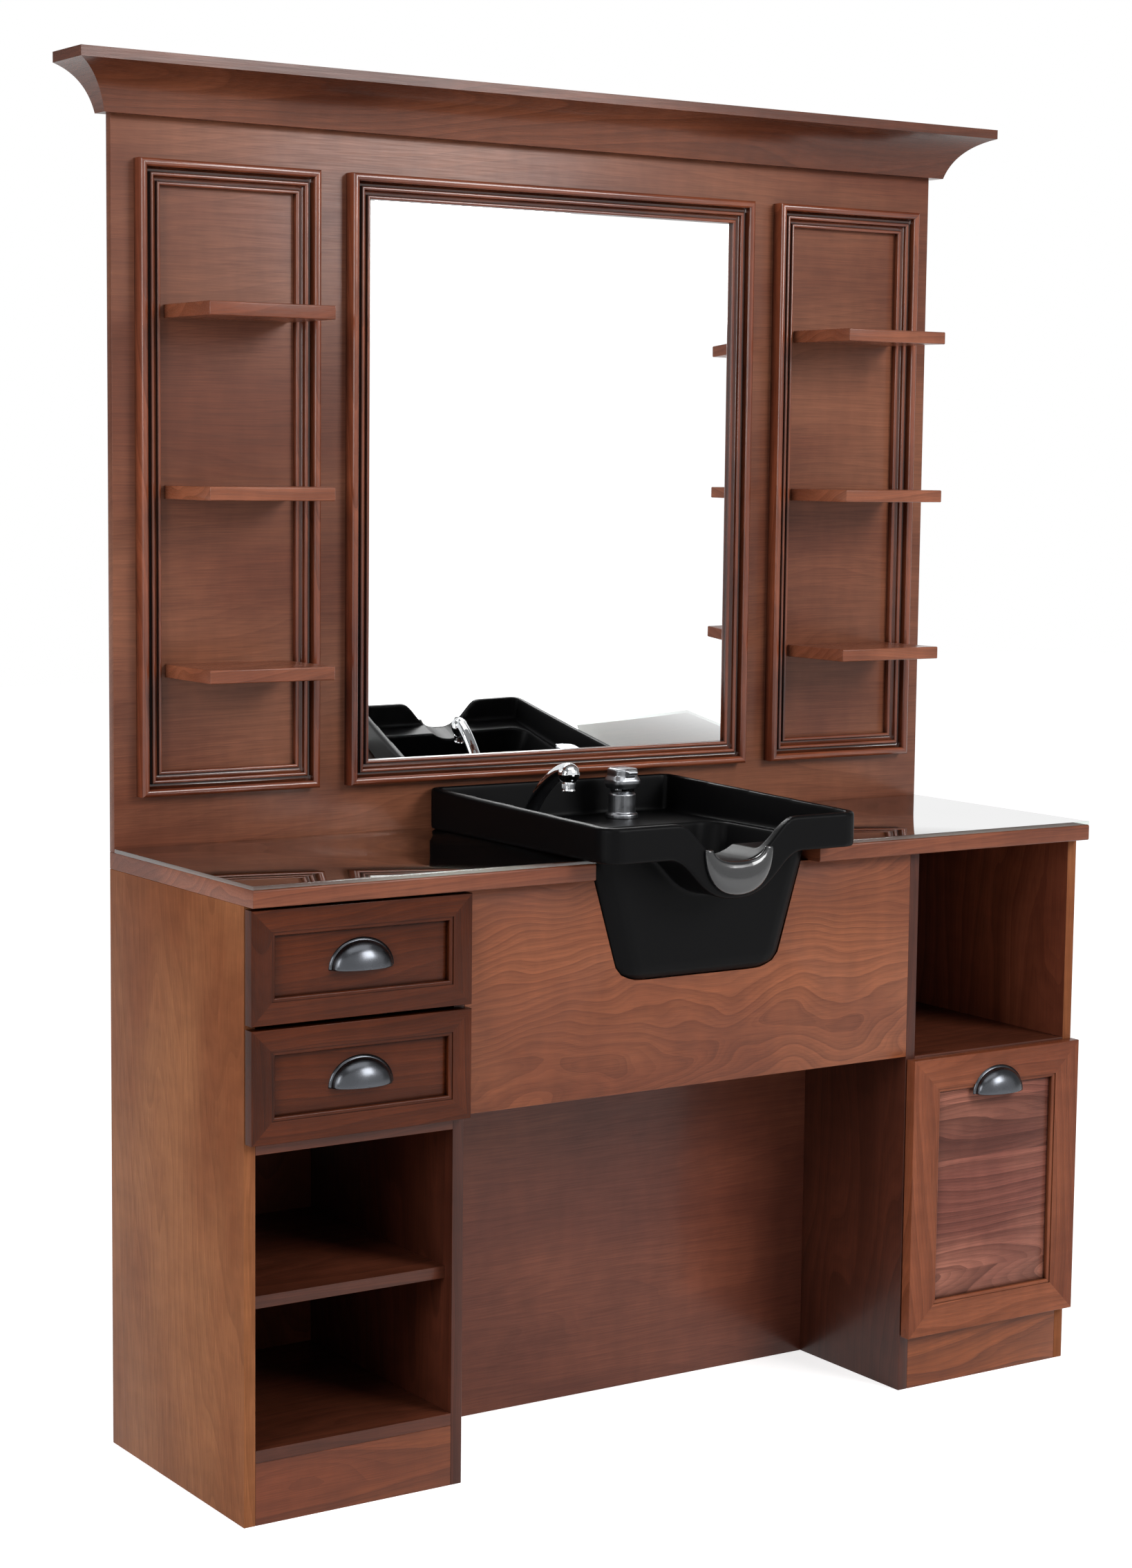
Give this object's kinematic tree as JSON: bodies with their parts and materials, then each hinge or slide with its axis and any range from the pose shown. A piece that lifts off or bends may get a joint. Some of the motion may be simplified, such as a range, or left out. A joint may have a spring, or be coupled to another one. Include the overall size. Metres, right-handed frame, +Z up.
{
  "type": "barber wet station",
  "caption": "Barber station with a glass-topped cabinet, drawers, open bays, a tilt-out hamper and a shampoo bowl, under a framed mirror, shelves and a cove crown.",
  "frame": {"origin": "on the floor, under the middle of the station's box", "axes": "+Z up, +Y towards the flat back, -Y towards the person at the mirror, +X to the hamper side"},
  "size_m": [1.686, 0.534, 2.04],
  "materials": {
    "cherry": "satin stained cherry",
    "cherry_dark": "satin dark stained cherry",
    "drawer_birch": "clear sealed birch",
    "clear_glass": "polished",
    "mirror": "silvered glass",
    "black_abs": "satin moulded",
    "grey_gel": "glossy moulded gel",
    "gunmetal": "gunmetal plated",
    "chrome": "bright plated",
    "satin_grey": "satin plated",
    "hinge_steel": "rolled"
  },
  "bodies": {
    "base": {"left_outer_side": "cherry", "left_inner_side": "cherry_dark", "left_kick": "cherry", "left_bottom": "cherry_dark", "left_back": "cherry_dark", "drawer_deck": "cherry", "right_outer_side": "cherry", "right_inner_side": "cherry_dark", "right_kick": "cherry", "right_bottom": "cherry_dark", "right_back": "cherry_dark", "cubby_floor": "cherry", "open_bay_shelf": "cherry", "knee_panel": "cherry_dark", "apron": "cherry", "counter_top": "cherry", "glass_top": "clear_glass", "back_panel": "cherry", "crown_moulding": "cherry", "crown_cap": "cherry_dark", "left_frame": "cherry", "mirror_frame": "cherry", "right_frame": "cherry", "mirror_glass": "mirror", "left_shelf_1": "cherry", "left_shelf_2": "cherry", "left_shelf_3": "cherry", "right_shelf_1": "cherry", "right_shelf_2": "cherry", "right_shelf_3": "cherry", "lower_drawer_runner_left": "drawer_birch", "lower_drawer_runner_right": "drawer_birch", "upper_drawer_runner_left": "drawer_birch", "upper_drawer_runner_right": "drawer_birch", "hamper_hinge_leaf": "hinge_steel", "bowl": "black_abs", "neck_pad": "grey_gel", "drain_strainer": "chrome", "drain_trap": "chrome", "mixer_body": "satin_grey"},
    "lower_drawer": {"lower_drawer_front": "cherry_dark", "lower_drawer_panel": "cherry_dark", "lower_drawer_pull": "gunmetal", "lower_drawer_box": "drawer_birch", "lower_drawer_floor": "drawer_birch"},
    "upper_drawer": {"upper_drawer_front": "cherry_dark", "upper_drawer_panel": "cherry_dark", "upper_drawer_pull": "gunmetal", "upper_drawer_box": "drawer_birch", "upper_drawer_floor": "drawer_birch"},
    "hamper": {"hamper_door_front": "cherry_dark", "hamper_door_panel": "cherry_dark", "hamper_door_pull": "gunmetal", "hamper_door_leaf": "hinge_steel", "hamper_bin": "drawer_birch"},
    "swivel_spout": {"spout": "chrome", "aerator": "chrome"},
    "mixer_turner": {"mixer_ball": "chrome"},
    "mixer_lever": {"mixer_handle": "satin_grey"}
  },
  "joints": [
    {"name": "lower_drawer_slide", "type": "slide", "parent": "base", "child": "lower_drawer", "axis": [0, -1, 0], "range_m": [0, 0.27]},
    {"name": "upper_drawer_slide", "type": "slide", "parent": "base", "child": "upper_drawer", "axis": [0, -1, 0], "range_m": [0, 0.27]},
    {"name": "hamper_tilt", "type": "hinge", "parent": "base", "child": "hamper", "pos_m": [0.586, -0.1616, 0.0862], "axis": [1, 0, 0], "range_deg": [0, 32]},
    {"name": "spout_swivel", "type": "hinge", "parent": "base", "child": "swivel_spout", "pos_m": [-0.088, 0.174, 0.907], "axis": [0, 0, 1], "range_deg": [-75, 75]},
    {"name": "mixer_turn", "type": "hinge", "parent": "base", "child": "mixer_turner", "pos_m": [0.088, 0.174, 0.955], "axis": [0, 0, 1], "range_deg": [-45, 45]},
    {"name": "mixer_lift", "type": "hinge", "parent": "mixer_turner", "child": "mixer_lever", "pos_m": [0.088, 0.174, 0.955], "axis": [-1, 0, 0], "range_deg": [0, 15]}
  ]
}
